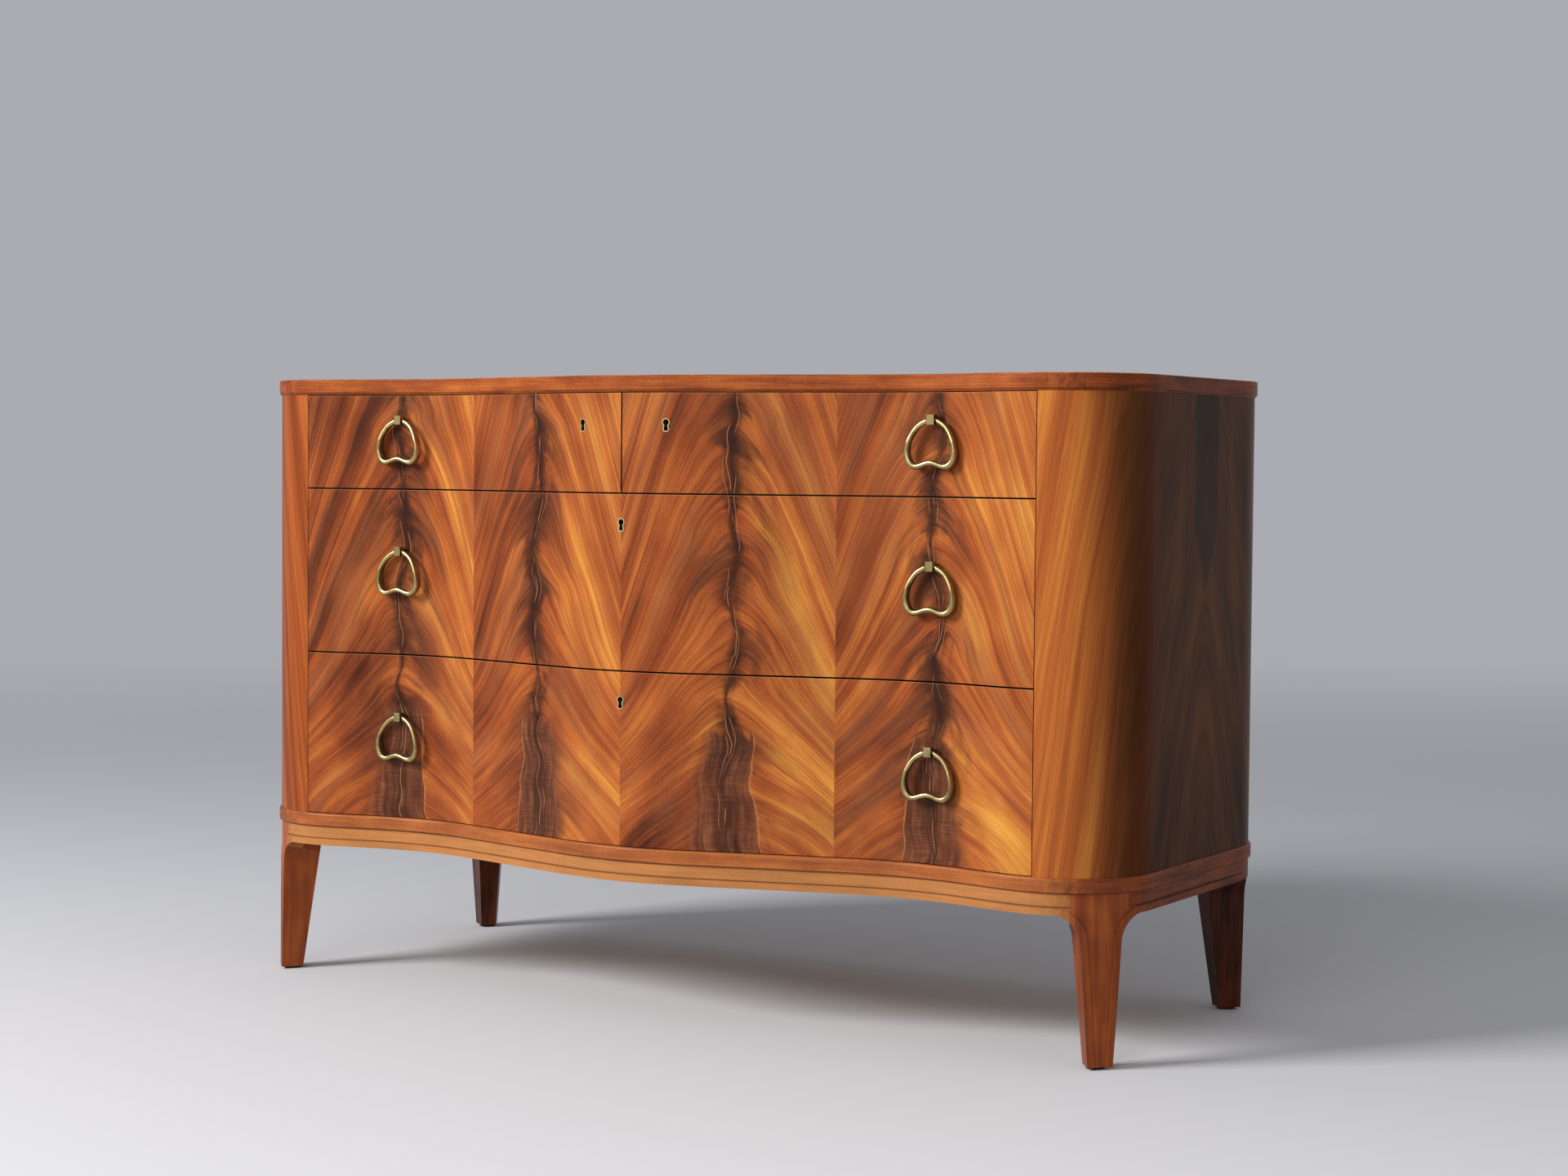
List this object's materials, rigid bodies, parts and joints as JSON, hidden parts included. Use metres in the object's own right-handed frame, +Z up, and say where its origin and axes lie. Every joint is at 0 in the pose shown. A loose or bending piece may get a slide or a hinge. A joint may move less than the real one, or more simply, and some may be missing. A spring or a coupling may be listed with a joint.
{
  "type": "chest of drawers",
  "caption": "Serpentine-fronted chest of drawers with small drawers over full-width ones, ring pulls, locks, a moulded base and legs cut from the rounded corners.",
  "frame": {"origin": "on the floor, under the middle of the whole chest", "axes": "+X to the right along the front, +Y from the front to the back, +Z up"},
  "size_m": [1.2296, 0.544, 0.7655],
  "materials": {
    "top_veneer": "glossy French-polished figured mahogany veneer, darker band at the edge",
    "front_veneer": "glossy French-polished book-matched flame mahogany veneer",
    "side_veneer": "glossy French-polished book-matched mahogany veneer",
    "base_wood": "glossy polished solid mahogany",
    "case_wood": "planed unpolished pine",
    "back_wood": "planed unpolished pine, aged",
    "drawer_wood": "planed unpolished oak",
    "drawer_bottom_wood": "thin unpolished plywood",
    "handle_brass": "aged cast brass, worn bright on the edges",
    "keyhole_brass": "thin brass thread, aged",
    "lock_brass": "dull lock brass",
    "bolt_steel": "dull steel",
    "foot_felt": "pressed dark felt pad"
  },
  "bodies": {
    "case": {"top_panel": "top_veneer", "right_side_panel": "side_veneer", "left_side_panel": "side_veneer", "back_panel": "back_wood", "bottom_board": "case_wood", "lower_dust_board": "case_wood", "upper_dust_board": "case_wood", "centre_partition": "case_wood", "front_apron": "base_wood", "right_apron": "base_wood", "left_apron": "base_wood", "back_apron": "base_wood", "front_right_leg": "base_wood", "front_left_leg": "base_wood", "back_right_leg": "base_wood", "back_left_leg": "base_wood", "foot_glides": "foot_felt", "base_band": "base_wood"},
    "top_left_drawer": {"top_left_drawer_front": "front_veneer", "top_left_drawer_left_side": "drawer_wood", "top_left_drawer_right_side": "drawer_wood", "top_left_drawer_back": "drawer_wood", "top_left_drawer_bottom": "drawer_bottom_wood", "top_left_escutcheon": "keyhole_brass", "top_left_lock": "lock_brass", "top_left_handle_posts": "handle_brass"},
    "top_left_bolt": {"top_left_lock_bolt": "bolt_steel"},
    "top_right_drawer": {"top_right_drawer_front": "front_veneer", "top_right_drawer_left_side": "drawer_wood", "top_right_drawer_right_side": "drawer_wood", "top_right_drawer_back": "drawer_wood", "top_right_drawer_bottom": "drawer_bottom_wood", "top_right_escutcheon": "keyhole_brass", "top_right_lock": "lock_brass", "top_right_handle_posts": "handle_brass"},
    "top_right_bolt": {"top_right_lock_bolt": "bolt_steel"},
    "middle_drawer": {"middle_drawer_front": "front_veneer", "middle_drawer_left_side": "drawer_wood", "middle_drawer_right_side": "drawer_wood", "middle_drawer_back": "drawer_wood", "middle_drawer_bottom": "drawer_bottom_wood", "middle_escutcheon": "keyhole_brass", "middle_lock": "lock_brass", "middle_handle_posts": "handle_brass"},
    "middle_bolt": {"middle_lock_bolt": "bolt_steel"},
    "bottom_drawer": {"bottom_drawer_front": "front_veneer", "bottom_drawer_left_side": "drawer_wood", "bottom_drawer_right_side": "drawer_wood", "bottom_drawer_back": "drawer_wood", "bottom_drawer_bottom": "drawer_bottom_wood", "bottom_escutcheon": "keyhole_brass", "bottom_lock": "lock_brass", "bottom_handle_posts": "handle_brass"},
    "bottom_bolt": {"bottom_lock_bolt": "bolt_steel"},
    "top_left_ring": {"top_left_ring": "handle_brass"},
    "top_right_ring": {"top_right_ring": "handle_brass"},
    "middle_left_ring": {"middle_left_ring": "handle_brass"},
    "middle_right_ring": {"middle_right_ring": "handle_brass"},
    "bottom_left_ring": {"bottom_left_ring": "handle_brass"},
    "bottom_right_ring": {"bottom_right_ring": "handle_brass"}
  },
  "joints": [
    {"name": "top_left_drawer_slide", "type": "slide", "parent": "case", "child": "top_left_drawer", "axis": [0, -1, 0], "range_m": [0, 0.35]},
    {"name": "top_left_bolt_slide", "type": "slide", "parent": "top_left_drawer", "child": "top_left_bolt", "axis": [0, 0, 1], "range_m": [0, 0.008]},
    {"name": "top_right_drawer_slide", "type": "slide", "parent": "case", "child": "top_right_drawer", "axis": [0, -1, 0], "range_m": [0, 0.35]},
    {"name": "top_right_bolt_slide", "type": "slide", "parent": "top_right_drawer", "child": "top_right_bolt", "axis": [0, 0, 1], "range_m": [0, 0.008]},
    {"name": "middle_drawer_slide", "type": "slide", "parent": "case", "child": "middle_drawer", "axis": [0, -1, 0], "range_m": [0, 0.35]},
    {"name": "middle_bolt_slide", "type": "slide", "parent": "middle_drawer", "child": "middle_bolt", "axis": [0, 0, 1], "range_m": [0, 0.008]},
    {"name": "bottom_drawer_slide", "type": "slide", "parent": "case", "child": "bottom_drawer", "axis": [0, -1, 0], "range_m": [0, 0.35]},
    {"name": "bottom_bolt_slide", "type": "slide", "parent": "bottom_drawer", "child": "bottom_bolt", "axis": [0, 0, 1], "range_m": [0, 0.008]},
    {"name": "top_left_ring_hinge", "type": "hinge", "parent": "top_left_drawer", "child": "top_left_ring", "pos_m": [-0.378, -0.20825, 0.7141], "axis": [-1, 0, 0], "range_deg": [0, 165]},
    {"name": "top_right_ring_hinge", "type": "hinge", "parent": "top_right_drawer", "child": "top_right_ring", "pos_m": [0.378, -0.20825, 0.7141], "axis": [-1, 0, 0], "range_deg": [0, 165]},
    {"name": "middle_left_ring_hinge", "type": "hinge", "parent": "middle_drawer", "child": "middle_left_ring", "pos_m": [-0.378, -0.20825, 0.54945], "axis": [-1, 0, 0], "range_deg": [0, 165]},
    {"name": "middle_right_ring_hinge", "type": "hinge", "parent": "middle_drawer", "child": "middle_right_ring", "pos_m": [0.378, -0.20825, 0.54945], "axis": [-1, 0, 0], "range_deg": [0, 165]},
    {"name": "bottom_left_ring_hinge", "type": "hinge", "parent": "bottom_drawer", "child": "bottom_left_ring", "pos_m": [-0.378, -0.20825, 0.3405], "axis": [-1, 0, 0], "range_deg": [0, 165]},
    {"name": "bottom_right_ring_hinge", "type": "hinge", "parent": "bottom_drawer", "child": "bottom_right_ring", "pos_m": [0.378, -0.20825, 0.3405], "axis": [-1, 0, 0], "range_deg": [0, 165]}
  ]
}
